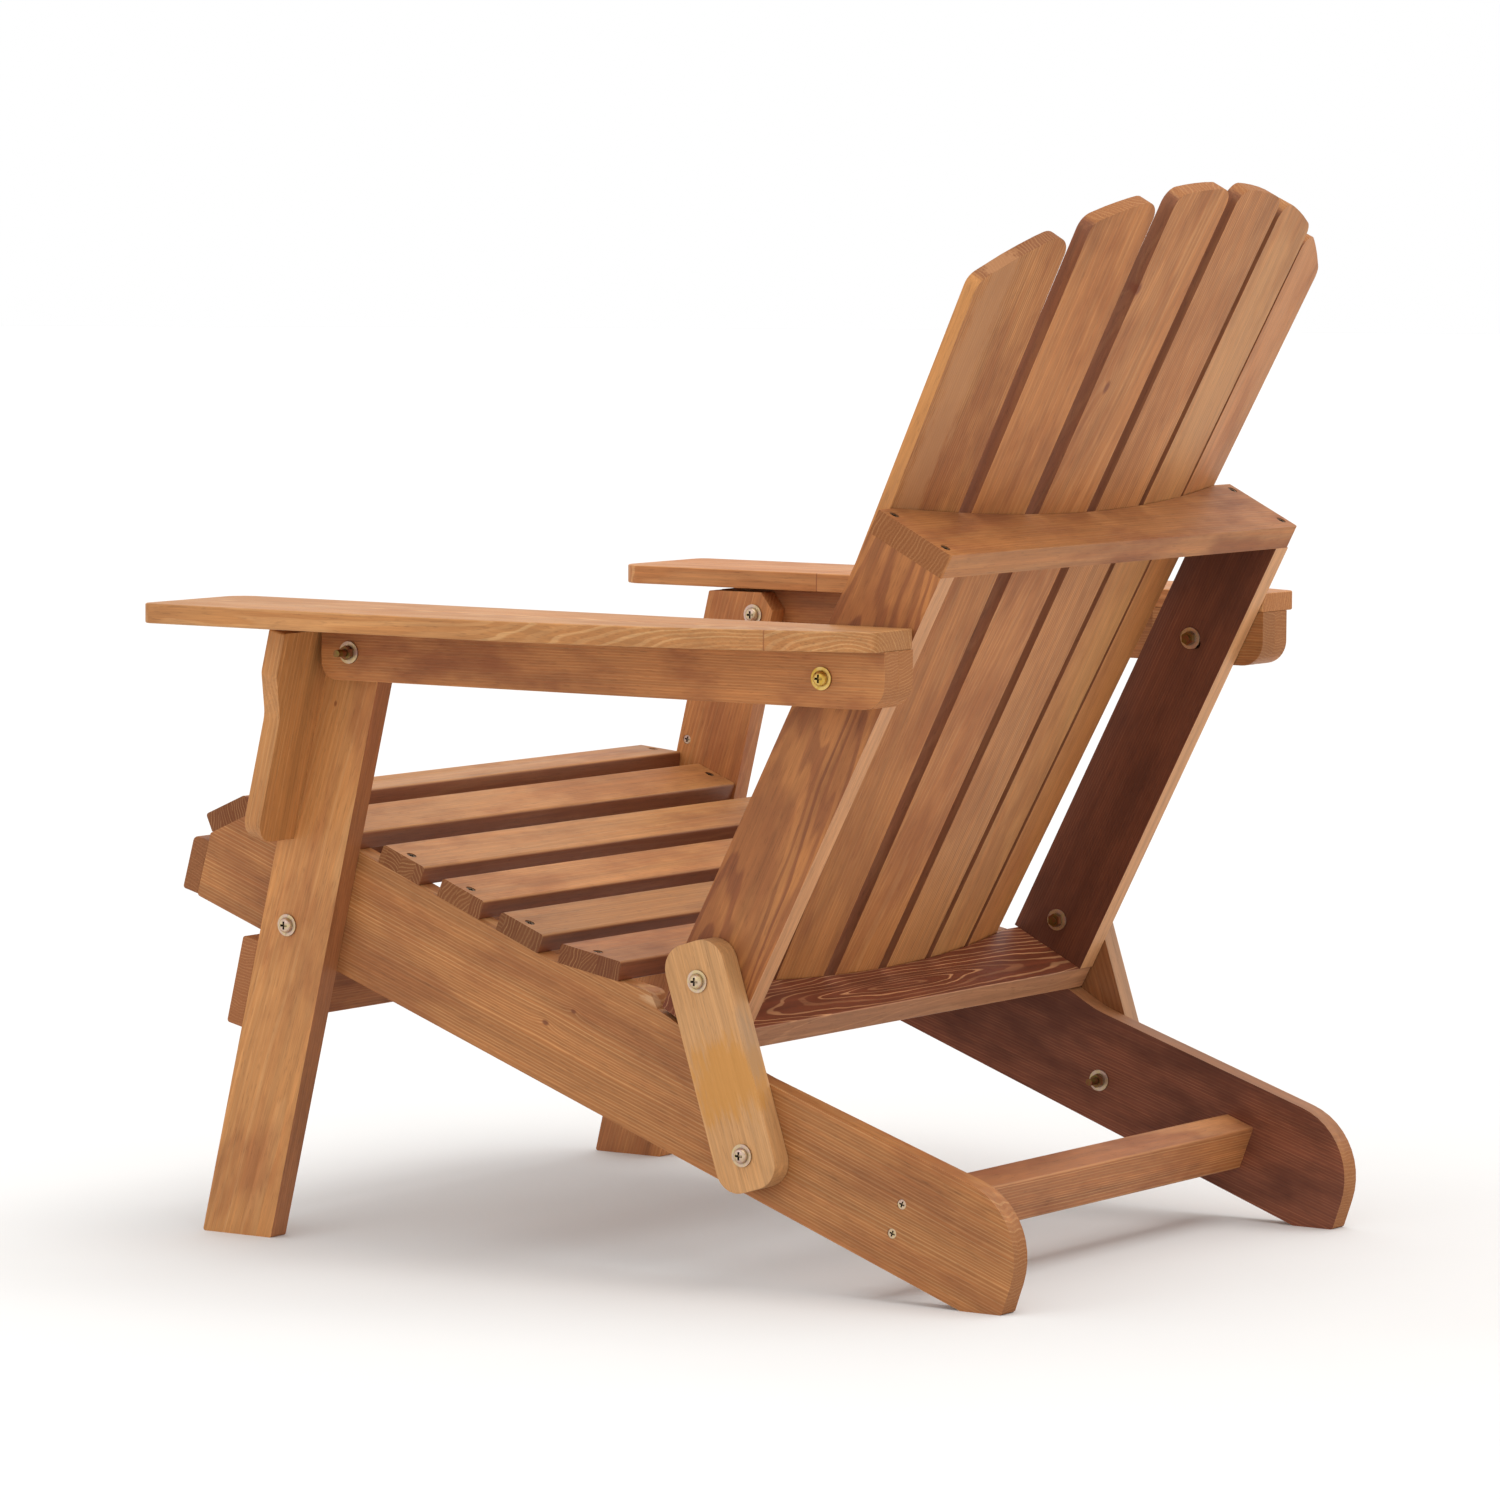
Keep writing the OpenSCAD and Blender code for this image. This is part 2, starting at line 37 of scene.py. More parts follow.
# ---------------------------------------------------------------- shader graphs
class Graph:
    """Short ways to add nodes to a shader tree and join them up."""

    def __init__(self, tree):
        self.tree = tree

    def put(self, socket, value):
        if isinstance(value, bpy.types.NodeSocket):
            self.tree.links.new(value, socket)
        else:
            socket.default_value = value

    def node(self, kind, inputs=None, **settings):
        made = self.tree.nodes.new(kind)
        for name, value in settings.items():
            setattr(made, name, value)
        for name, value in (inputs or {}).items():
            self.put(made.inputs[name], value)
        return made

    def math(self, operation, *values, clamp=False):
        made = self.node("ShaderNodeMath", operation=operation, use_clamp=clamp)
        for socket, value in zip(made.inputs, values):
            self.put(socket, value)
        return made.outputs[0]

    def vector(self, operation, *values):
        made = self.node("ShaderNodeVectorMath", operation=operation)
        for socket, value in zip(made.inputs, values):
            self.put(socket, value)
        return made.outputs["Vector"]

    def scaled(self, vector, factor):
        made = self.node("ShaderNodeVectorMath", operation="SCALE")
        self.put(made.inputs[0], vector)
        self.put(made.inputs["Scale"], factor)
        return made.outputs["Vector"]

    def length(self, vector):
        made = self.node("ShaderNodeVectorMath", operation="LENGTH")
        self.put(made.inputs[0], vector)
        return made.outputs["Value"]

    def split(self, vector):
        return self.node("ShaderNodeSeparateXYZ", {"Vector": vector}).outputs

    def step(self, value, low, high, start=0.0, end=1.0):
        made = self.node("ShaderNodeMapRange", interpolation_type="SMOOTHSTEP")
        for name, given in (
            ("Value", value),
            ("From Min", low),
            ("From Max", high),
            ("To Min", start),
            ("To Max", end),
        ):
            self.put(made.inputs[name], given)
        return made.outputs["Result"]

    def mix(self, factor, first, second, blend="MIX"):
        made = self.node("ShaderNodeMix", data_type="RGBA", blend_type=blend)
        self.put(made.inputs[0], factor)
        self.put(made.inputs[6], first)
        self.put(made.inputs[7], second)
        return made.outputs[2]

    def noise(self, vector, stretch, detail=2.0, rough=0.5, colour=False):
        """Noise whose features run 1 / stretch metres along each axis."""
        moved = self.vector("MULTIPLY", vector, stretch)
        made = self.node(
            "ShaderNodeTexNoise",
            {"Vector": moved, "Scale": 1.0, "Detail": detail, "Roughness": rough},
        )
        return made.outputs["Color" if colour else "Fac"]


def new_group(name, inputs, outputs):
    """An empty shader group with its sockets, its graph, and its two end nodes."""
    tree = bpy.data.node_groups.new(name, "ShaderNodeTree")
    for label, kind, value in inputs:
        socket = tree.interface.new_socket(label, in_out="INPUT", socket_type=kind)
        if value is not None:
            socket.default_value = value
    for label, kind in outputs:
        tree.interface.new_socket(label, in_out="OUTPUT", socket_type=kind)
    graph = Graph(tree)
    return graph, graph.node("NodeGroupInput").outputs, graph.node("NodeGroupOutput").inputs


FLOAT, VECTOR, COLOUR = "NodeSocketFloat", "NodeSocketVector", "NodeSocketColor"


def wood_group():
    """Stained softwood in board coordinates: x along the grain, y across the face, z through the board."""
    g, given, out = new_group(
        "stained_wood",
        [
            ("Board", VECTOR, None),
            ("Log", VECTOR, None),
            ("Normal", VECTOR, None),
            ("Ring", FLOAT, 0.003),
            ("Wander", FLOAT, 0.004),
            ("Strip", FLOAT, 10.0),
            ("Push", FLOAT, 0.0),
            ("Knot", FLOAT, 0.0),
            ("Body", COLOUR, None),
            ("Line", COLOUR, None),
            ("Stain", COLOUR, None),
            ("Figure", FLOAT, 0.5),
            ("Fine", FLOAT, 0.3),
            ("Mottle", FLOAT, 0.5),
            ("Sides", FLOAT, 0.0),
            ("Edge", COLOUR, None),
            ("Ends", FLOAT, 0.5),
        ],
        [("Color", COLOUR), ("Roughness", FLOAT), ("Normal", VECTOR)],
    )
    board = given["Board"]
    half = (0.5, 0.5, 0.5)

    # glued strips: each strip of a laminated board comes from another part of the log
    strip = g.math("FLOOR", g.math("DIVIDE", g.split(board)[1], given["Strip"]))
    piece = g.node("ShaderNodeTexWhiteNoise", {"W": strip}, noise_dimensions="1D").outputs["Color"]
    log = g.vector("ADD", given["Log"], g.vector("MULTIPLY", piece, (0.0, 0.14, 0.09)))

    # growth rings: the distance from the pith, bent by slow waves along the grain, with fat and lean years
    wave = g.vector("SUBTRACT", g.noise(log, (2.6, 17, 17), 2.0, 0.5, True), half)
    bent = g.vector("ADD", log, g.scaled(wave, given["Wander"]))
    ripple = g.vector("SUBTRACT", g.noise(log, (14, 70, 70), 2.0, 0.5, True), half)
    bent = g.vector("ADD", bent, g.scaled(ripple, g.math("MULTIPLY", given["Wander"], 0.16)))
    radius = g.math("ADD", g.length(g.vector("MULTIPLY", bent, (0, 1, 1))), given["Push"])
    lean_years = g.noise(bent, (0.3, 55, 55), 1.0, 0.5)
    count = g.math("ADD", g.math("DIVIDE", radius, given["Ring"]), g.math("MULTIPLY", lean_years, 2.6))
    year = g.math("FLOOR", count)
    season = g.math("SUBTRACT", count, year)
    luck = g.node("ShaderNodeTexWhiteNoise", {"W": year}, noise_dimensions="1D").outputs["Value"]
    width = g.math("MULTIPLY_ADD", given["Fine"], 0.4, g.math("MULTIPLY_ADD", luck, 0.2, 0.22))
    rise = g.step(season, width, g.math("ADD", width, g.math("MULTIPLY_ADD", given["Fine"], -0.2, 0.26)))
    fall = g.step(season, 0.88, 1.0, 1.0, 0.0)
    line = g.math("MULTIPLY", g.math("MULTIPLY", rise, fall), g.math("MULTIPLY_ADD", luck, 0.75, 0.25))

    # fibres, streaks, short pores, clouds of stain, and a warmer glow in places
    fibre = g.noise(board, (34, 1000, 1000), 2.0, 0.6)
    streak = g.noise(board, (3.0, 170, 170), 3.0, 0.6)
    dash = g.step(g.noise(board, (90, 800, 800), 1.0, 0.5), 0.6, 0.72)
    cloud = g.noise(board, (4.0, 13, 13), 4.0, 0.62)
    smudge = g.noise(board, (13, 34, 34), 3.0, 0.6)
    blend = g.math("MULTIPLY_ADD", smudge, 0.45, g.math("MULTIPLY", cloud, 0.55))
    blotch = g.step(g.math("MULTIPLY_ADD", streak, 0.12, g.math("SUBTRACT", blend, 0.06)), 0.43, 0.62)
    glow = g.step(g.noise(g.vector("ADD", board, (3, 5, 7)), (3.0, 11, 11), 3.0, 0.6), 0.4, 0.62)

    # which way the surface faces: cut ends, side edges, and the rounded corners between faces
    facing = g.split(given["Normal"])
    end = g.step(g.math("ABSOLUTE", facing[0]), 0.55, 0.9)
    side = g.step(g.math("ABSOLUTE", facing[1]), 0.55, 0.9)
    through = g.math("ABSOLUTE", facing[2])
    around = g.math("SQRT", g.math("SUBTRACT", 1.0, g.math("MULTIPLY", through, through), clamp=True))
    corner = g.step(g.math("MULTIPLY", g.math("MULTIPLY", through, around), 2.0), 0.5, 1.0)
    # the rounded corners between faces turn paler and a little smoother, in streaks
    pale_corner = g.math("MULTIPLY", corner, g.step(streak, 0.36, 0.62, 0.2, 1.0))

    # the long faces
    face = g.mix(g.math("MULTIPLY", line, given["Figure"]), given["Body"], given["Line"])
    face = g.mix(g.math("MULTIPLY", blotch, given["Mottle"]), face, given["Stain"])
    face = g.mix(g.math("MULTIPLY", glow, 0.3), face, g.mix(1.0, face, (1.25, 1.12, 0.95, 1.0), "MULTIPLY"))
    value = g.math("MULTIPLY_ADD", streak, 0.8, 0.6)
    value = g.math("MULTIPLY", value, g.math("MULTIPLY_ADD", fibre, 0.5, 0.75))
    value = g.math("MULTIPLY", value, g.math("MULTIPLY_ADD", dash, -0.16, 1.0))
    grey = g.node("ShaderNodeCombineColor", {"Red": value, "Green": value, "Blue": value}).outputs[0]
    face = g.mix(1.0, face, grey, "MULTIPLY")
    # side edges take their own Edge colour; on the slats that colour is painted shade in the gaps between
    # them
    rim = g.mix(1.0, g.mix(g.math("MULTIPLY", line, 0.05), given["Edge"], given["Line"]), grey, "MULTIPLY")
    face = g.mix(g.math("MULTIPLY", side, given["Sides"]), face, rim)

    # the cut ends drink more stain, and their rings show as pale arcs
    pores = g.noise(board, (300, 1300, 1300), 1.0, 0.5)
    deep = g.mix(0.75, given["Stain"], (0.5, 0.36, 0.3, 1.0), "MULTIPLY")
    soaked = g.math("SUBTRACT", given["Ends"], g.math("MULTIPLY", g.split(piece)[0], 0.18), clamp=True)
    ends = g.mix(soaked, given["Body"], deep)
    ends = g.mix(g.math("MULTIPLY", line, 0.5), ends, g.mix(0.25, given["Line"], ends))
    ends = g.mix(g.step(pores, 0.45, 0.7, 0.0, 0.4), ends, deep)
    colour = g.mix(g.math("MULTIPLY", end, 0.9), face, ends)
    colour = g.mix(g.math("MULTIPLY", pale_corner, 0.34), colour, given["Line"])
    colour = g.mix(given["Knot"], colour, g.mix(0.4, given["Stain"], deep))
    g.put(out["Color"], colour)

    rough = g.math("MULTIPLY_ADD", blotch, 0.08, g.math("MULTIPLY_ADD", end, 0.2, 0.46))
    rough = g.math("ADD", rough, g.math("MULTIPLY", fibre, 0.1))
    g.put(out["Roughness"], g.math("SUBTRACT", rough, g.math("MULTIPLY", pale_corner, 0.06)))

    height = g.math("MULTIPLY_ADD", line, 0.5, g.math("MULTIPLY", streak, 0.6))
    height = g.math("ADD", height, g.math("MULTIPLY_ADD", fibre, 0.4, g.math("MULTIPLY", dash, -0.5)))
    height = g.math("ADD", height, g.math("MULTIPLY", g.math("MULTIPLY", pores, end), 0.9))
    bump = g.node("ShaderNodeBump", {"Strength": 0.55, "Distance": 0.2 * MM, "Height": height})
    g.put(out["Normal"], bump.outputs[0])
    return g.tree


def knot_group():
    """A knot: pushes the rings out around its centre, and gives a mask of its core."""
    g, given, out = new_group(
        "knot",
        [("Board", VECTOR, None), ("Centre", VECTOR, None), ("Size", FLOAT, 0.006), ("Push", FLOAT, 0.0)],
        [("Push", FLOAT), ("Core", FLOAT)],
    )
    away = g.vector("MULTIPLY", g.vector("SUBTRACT", given["Board"], given["Centre"]), (0.6, 1.0, 0.25))
    far = g.math("DIVIDE", g.length(away), given["Size"])
    swirl = g.math("DIVIDE", 1.0, g.math("MULTIPLY_ADD", g.math("MULTIPLY", far, far), 0.35, 1.0))
    g.put(out["Push"], g.math("MULTIPLY_ADD", swirl, g.math("MULTIPLY", given["Size"], 1.6), given["Push"]))
    g.put(out["Core"], g.step(far, 0.35, 1.0, 0.8, 0.0))
    return g.tree


WOOD = wood_group()
KNOT = knot_group()


# ---------------------------------------------------------------- boards
def gather(groups, way, amount):
    """Adds a direction to the group of directions that it agrees with."""
    for entry in groups:
        if abs(entry[0].dot(way)) > SAME_WAY:
            entry[1] += amount
            return
    groups.append([way.copy(), amount])


def board_axes(obj):
    """A board's directions, as rows: along the grain, across its face, and through it."""
    mesh = bmesh.new()
    mesh.from_mesh(obj.data)
    bmesh.ops.remove_doubles(mesh, verts=mesh.verts, dist=MERGE)
    mesh.normal_update()
    faces, lines = [], []
    for face in mesh.faces:
        gather(faces, face.normal, face.calc_area())
    through = max(faces, key=lambda entry: entry[1])[0]
    for edge in mesh.edges:
        run = edge.verts[1].co - edge.verts[0].co
        if len(edge.link_faces) == 2 and run.length > MERGE and edge.calc_face_angle(0.0) > SHARP_ANGLE:
            run_way = run.normalized()
            if abs(run_way.dot(through)) < IN_PLANE:
                gather(lines, run_way, run.length)
    points = [vertex.co for vertex in mesh.verts]

    def reach(way, amount):
        """How far the board runs along a direction, and how much edge runs that way: most for the grain."""
        spots = [point.dot(way) for point in points]
        return max(spots) - min(spots) + amount

    ways = [entry for line in lines for entry in (line, [through.cross(line[0]), line[1]])]
    grain = max(ways, key=lambda entry: reach(*entry))[0]
    grain = (grain - through * grain.dot(through)).normalized()
    mesh.free()
    if max(grain, key=abs) < 0:
        grain = -grain
    return Matrix((grain, through.cross(grain), through))


def shown(rgb):
    """A colour given as 0 to 255 screen values, as the linear light that a shader wants."""
    def one(value):
        value /= 255
        return value / 12.92 if value <= 0.04045 else ((value + 0.055) / 1.055) ** 2.4
    return tuple(one(value) for value in rgb) + (1.0,)


def lit(rgb, bright):
    """A screen colour made brighter or darker."""
    return tuple(value * bright for value in shown(rgb)[:3]) + (1.0,)


# how a board was sawn
CUT_PARTS = (
    "across",  # where the pith lies across the face
    "below",  # how far the pith lies below the face
    "tilt",  # how much the pith leans, out of the face and within it
    "ring",  # width of a year's ring
    "wander",  # how far the rings wander
    "fine",  # how narrow their lines are
)
CUTS = {
    "edge": ((0.16, 0.24), (0.01, 0.05), (0.004, 0.004), (0.0022, 0.0028), 0.007, 0.4),
    "rift": ((0.05, 0.09), (0.06, 0.1), (0.012, 0.01), (0.0026, 0.0034), 0.012, 0.4),
    "face": ((0.0, 0.012), (0.05, 0.08), (0.03, 0.004), (0.0034, 0.0044), 0.02, 0.5),
    "slope": ((0.02, 0.05), (0.05, 0.07), (0.09, 0.03), (0.003, 0.0036), 0.014, 0.35),
    "wavy": ((0.004, 0.012), (0.034, 0.042), (0.07, 0.006), (0.0036, 0.004), 0.034, 0.85),
    "flame": ((0.0, 0.006), (0.07, 0.074), (0.14, 0.01), (0.008, 0.009), 0.022, 0.0),
}

# three stains of every tone: the body of the wood, its growth lines, and where the stain has soaked in
TONES = {
    "honey": ((186, 128, 74), (212, 162, 108), (140, 80, 44)),
    "amber": ((172, 112, 62), (203, 150, 97), (122, 64, 37)),
    "russet": ((178, 116, 64), (206, 152, 98), (116, 62, 36)),
    "brown": ((158, 100, 58), (190, 138, 90), (112, 60, 37)),
    # the dark tone is painted shade, used on the inner faces of the right rail and upright
    "dark": ((100, 55, 37), (142, 92, 62), (72, 37, 24)),
    "shade": ((122, 64, 40), (210, 154, 108), (94, 48, 32)),
    "pale": ((200, 151, 101), (214, 170, 124), (186, 130, 72)),
}

# what each board looks like: cut, tone, strength of the lines, strength of the blotches, and brightness
# (lines with a strength below 0 are darker than the wood, not paler)
LOOKS = {
    "rail_left": ("edge", "amber", 0.8, 0.45, 0.88),
    "rail_right": ("edge", "amber", 0.4, 0.85, 0.9),
    "leg_left": ("rift", "honey", 0.3, 0.6, 1.0),
    "leg_right": ("rift", "amber", 0.35, 0.5, 1.12),
    "bracket_left": ("rift", "honey", 0.3, 0.3, 0.95),
    "bracket_right": ("rift", "amber", 0.3, 0.3, 1.0),
    "arm_rail_left": ("edge", "amber", 0.4, 0.7, 1.0),
    "arm_rail_right": ("edge", "amber", 0.3, 0.5, 0.9),
    "armrest_left": ("slope", "honey", 0.8, 0.25, 0.88),
    "armrest_right": ("slope", "amber", 0.8, 0.25, 1.12),
    "upright_left": ("flame", "russet", -0.75, 0.5, 0.99),
    "upright_right": ("edge", "amber", 0.3, 0.6, 0.9),
    "top_brace": ("rift", "amber", 0.3, 0.6, 0.94),
    "bottom_brace": ("wavy", "shade", 1.0, 0.3, 1.05),
    "link_left": ("rift", "pale", 0.3, 0.3, 0.86),
    "link_right": ("rift", "brown", 0.3, 0.4, 0.8),
    "rear_stretcher": ("edge", "brown", 0.9, 0.5, 1.04),
    "front_stretcher": ("edge", "brown", 0.45, 0.5, 1.1),
    "apron": ("edge", "brown", 0.45, 0.5, 0.9),
    "arm_spacer_left": ("edge", "amber", 0.6, 0.4, 1.0),
    "arm_spacer_right": ("edge", "amber", 0.6, 0.4, 0.82),
    "back_slat_1": ("edge", "amber", 0.7, 0.55, 0.92),
    "back_slat_2": ("face", "amber", 0.25, 0.45, 1.0),
    "back_slat_3": ("face", "amber", 0.35, 0.45, 1.05),
    "back_slat_4": ("edge", "amber", 0.75, 0.35, 1.0),
    "back_slat_5": ("rift", "honey", 0.3, 0.45, 0.95),
    "back_slat_6": ("edge", "amber", 0.5, 0.4, 1.1),
}
SEAT_SLATS = [f"seat_slat_{place}" for place in range(1, 8)]
INNER_SLATS = [f"back_slat_{place}" for place in range(2, 7)]
for slat in SEAT_SLATS:
    LOOKS[slat] = ("rift", "honey", 0.3, 0.5, 0.84)
LOOKS["seat_slat_6"] = ("rift", "honey", 0.3, 0.6, 0.72)
LOOKS["seat_slat_7"] = ("rift", "amber", 0.3, 0.6, 0.84)

STRIP = 14.7 * MM  # width of the strips that the seat slats are glued from
WHOLE = 10.0  # a board in one piece

# how much stain the cut ends have drunk, where it isn't the usual
ENDS = {"seat_slat": 0.95, "back_slat_1": 0.65, "top_brace": 0.55}
USUAL_ENDS = 0.35

# side edges of a board that differ from its faces; on the seat slats and inner back slats the dark edge
# colour is painted shade in the narrow gaps between slats
EDGE_TONES_AND_GAP_SHADE = {
    "seat_slat": (126, 72, 46),
    "inner_slat": (120, 70, 46),
    "back_slat_1": (190, 130, 72),
    "upright_right": (200, 146, 100),
    "upright_left": (196, 142, 98),
    "rail_right": (150, 100, 64),
    "link_right": (172, 129, 94),
    "bottom_brace": (170, 120, 84),
    "leg_left": (150, 92, 56),
}
EDGE_SHARE = 0.85  # how far such an edge takes its own colour

# boards whose random seed was picked, so that the arches of the grain point the right way
LOGS = {"upright_left": "upright_left_6", "bottom_brace": "bottom_brace_3"}

# boards whose inner face, towards the sitter's left, gets painted shade: a darker tone and brightness than
# the rest, standing in for the shade inside the chair
SHADED_INSIDES = {"rail_right": ("dark", 1.6), "upright_right": ("dark", 1.12)}

# knots: centre in the frame and radius of the core, in metres
KNOTS = {
    "rail_left": [((0.272, -0.0494, 0.1941), 0.0028), ((0.272, -0.0222, 0.205), 0.0022)],
    "back_slat_3": [((0.0545, 0.3347, 0.7025), 0.0048), ((0.0732, 0.3734, 0.7804), 0.0042)],
    "leg_left": [((0.2925, -0.243, 0.4408), 0.002)],
}

# patches: centre in the frame, half sizes along, across and through the board, colour, strength
PATCHES = {
    "link_left": [
        ((0.2925, 0.1425, 0.1673), (0.034, 0.05, 0.03), (206, 142, 62), 0.75),
        ((0.2925, 0.1539, 0.1956), (0.03, 0.003, 0.03), (168, 140, 112), 0.35),
    ],
    "rail_left": [((0.272, 0.0537, 0.2192), (0.014, 0.005, 0.01), (214, 172, 128), 0.6)],
    "back_slat_1": [((0.2414, 0.324, 0.7353), (0.9, 0.016, 0.03), (180, 126, 82), 0.7)],
}

# boards spliced end to end: where the joint crosses the board, in metres from front to back
SPLICES = {"armrest_left": 0.2122, "armrest_right": -0.1487}
NEXT_BOARD = (5.0, 0.021, 0.017)  # step through the log from one side of the joint to the other
JOINT_LINE = 0.35 * MM


def empty_material(name):
    """A material without nodes, and its graph."""
    made = bpy.data.materials.new(name)
    made.use_nodes = True
    made.node_tree.nodes.clear()
    return made, Graph(made.node_tree)


def finish_material(g, colour, rough, normal, inputs):
    """Ends a material in one shader, with its constants set on the shader's own sockets."""
    shader = g.node("ShaderNodeBsdfPrincipled", {"Base Color": colour, "Roughness": rough, "Normal": normal})
    for label, value in inputs.items():
        shader.inputs[label].default_value = value
    g.put(g.node("ShaderNodeOutputMaterial").inputs["Surface"], shader.outputs[0])


def mapped(g, vector, rotation, place=(0.0, 0.0, 0.0), kind="POINT"):
    """A vector turned, and moved if it is a point."""
    inputs = {"Vector": vector, "Rotation": rotation}
    if kind == "POINT":
        inputs["Location"] = place
    return g.node("ShaderNodeMapping", inputs, vector_type=kind).outputs[0]


def add_splice(g, board, log, crossing):
    """Cuts a board in two at a place along it: the log of each part, and a mask of the joint."""
    along = g.math("SUBTRACT", g.split(board)[0], crossing)
    beyond = g.math("GREATER_THAN", along, 0.0)
    joint = g.step(g.math("ABSOLUTE", along), JOINT_LINE, 2 * JOINT_LINE, 0.7, 0.0)
    return g.vector("ADD", log, g.scaled(NEXT_BOARD, beyond)), joint


def add_knots(g, board, knots, local):
    """How far the knots push the rings out, and a mask of their cores."""
    push, core = 0.0, 0.0
    for centre, size in knots:
        knot = g.node("ShaderNodeGroup", node_tree=KNOT)
        for label, value in {"Board": board, "Centre": local(centre), "Size": size, "Push": push}.items():
            g.put(knot.inputs[label], value)
        push = knot.outputs["Push"]
        core = knot.outputs["Core"] if core == 0.0 else g.math("MAXIMUM", core, knot.outputs["Core"])
    return push, core


def add_patches(g, board, shifted, colour, patches, local, bright):
    """Lays ragged patches of another colour over the wood."""
    for centre, sizes, shade, strength in patches:
        far = g.length(g.vector("DIVIDE", g.vector("SUBTRACT", board, local(centre)), sizes))
        tear = g.noise(shifted, (30, 180, 180), 4.0, 0.7)
        ragged = g.math("MULTIPLY_ADD", tear, 2.2, g.math("SUBTRACT", far, 1.1))
        colour = g.mix(g.step(ragged, 0.55, 1.15, strength, 0.0), colour, lit(shade, bright))
    return colour


def wood_material(name, obj):
    """The material of one board, with its own cut, tone and place in the log."""
    cut_name, tone, figure, mottle, bright = LOOKS[name]
    cut = dict(zip(CUT_PARTS, CUTS[cut_name]))
    chance = random.Random(LOGS.get(name, name))
    axes = board_axes(obj)
    corners = [axes @ vertex.co for vertex in obj.data.vertices]
    middle = Vector([(min(c[i] for c in corners) + max(c[i] for c in corners)) / 2 for i in range(3)])
    turn = axes.to_euler()

    def local(point):
        return axes @ Vector(point) - middle

    made, g = empty_material(f"wood_{name}")
    place = g.node("ShaderNodeTexCoord").outputs
    board = mapped(g, place["Object"], turn, -middle)
    normal = mapped(g, place["Normal"], turn, kind="VECTOR")
    lean = Matrix.Rotation(chance.choice((-1, 1)) * chance.uniform(0.7, 1.0) * cut["tilt"][0], 3, "Y")
    lean @= Matrix.Rotation(chance.choice((-1, 1)) * chance.uniform(0.5, 1.0) * cut["tilt"][1], 3, "Z")
    pith = (
        chance.uniform(2, 40),
        chance.choice((-1, 1)) * chance.uniform(*cut["across"]),
        -chance.uniform(*cut["below"]),
    )
    log = mapped(g, board, lean.to_euler(), pith)
    shifted = g.vector("ADD", board, (chance.uniform(2, 40), chance.uniform(2, 9), chance.uniform(2, 9)))

    joint = None
    if name in SPLICES:
        log, joint = add_splice(g, board, log, local((0, SPLICES[name], 0))[0])
    push, core = add_knots(g, board, KNOTS.get(name, ()), local)

    body, line, stain = (lit(colour, bright) for colour in TONES[tone])
    if figure < 0:
        line, figure = stain, -figure
    # painted shade: the inner faces of these boards take a darker tone
    if name in SHADED_INSIDES:
        shade_tone, shade_bright = SHADED_INSIDES[name]
        shaded_face_mask = g.step(g.split(place["Normal"])[0], 0.4, 0.8)
        inner = [lit(colour, shade_bright) for colour in TONES[shade_tone]]
        body, line, stain = (g.mix(shaded_face_mask, outer, own) for outer, own in zip((body, line, stain), inner))
    seat = name in SEAT_SLATS
    kind = "seat_slat" if seat else "inner_slat" if name in INNER_SLATS else name
    edge = EDGE_TONES_AND_GAP_SHADE.get(kind)
    wood = g.node("ShaderNodeGroup", node_tree=WOOD)
    for label, value in {
        "Board": shifted,
        "Log": log,
        "Normal": normal,
        "Ring": chance.uniform(*cut["ring"]),
        "Wander": cut["wander"],
        "Strip": STRIP if seat else WHOLE,
        "Push": push,
        "Knot": core,
        "Body": body,
        "Line": line,
        "Stain": stain,
        "Figure": figure,
        "Fine": cut["fine"],
        "Mottle": mottle,
        "Sides": EDGE_SHARE if edge else 0.0,
        "Edge": shown(edge or TONES[tone][0]),
        "Ends": ENDS.get(kind, USUAL_ENDS),
    }.items():
        g.put(wood.inputs[label], value)
    colour = add_patches(g, board, shifted, wood.outputs["Color"], PATCHES.get(name, ()), local, bright)
    if joint:
        colour = g.mix(joint, colour, stain)
    finish_material(g, colour, wood.outputs["Roughness"], wood.outputs["Normal"], {"Specular IOR Level": 0.3})
    return made


# ---------------------------------------------------------------- screws and bolts
# painted shade: how far the occlusion looks, and the dark colour laid into recesses
RECESS_REACH = 2.5 * MM
RECESS_SHADE = (44, 30, 24)
PINK_ZINC, PALE_ZINC = (200, 172, 158), (206, 184, 140)
OLIVE, COPPER = (122, 102, 52), (134, 84, 56)
YELLOW, STRAW = (196, 156, 66), (214, 180, 108)
DULL, DULL_BROWN = (112, 92, 66), (84, 66, 50)

# where the plating turns to two other colours: from one distance from the middle of the chair to another
NUTS_OUTSIDE = (0.3147, 0.3150, OLIVE, COPPER)  # beyond the washers on the arm rails
NUTS_INSIDE = (0.2495, 0.2492, OLIVE, COPPER)  # within the washers on the side rails and uprights
YELLOW_HEADS = (0.3125, 0.3128, YELLOW, STRAW)  # the rear bolts' washers and heads, on the arm rails


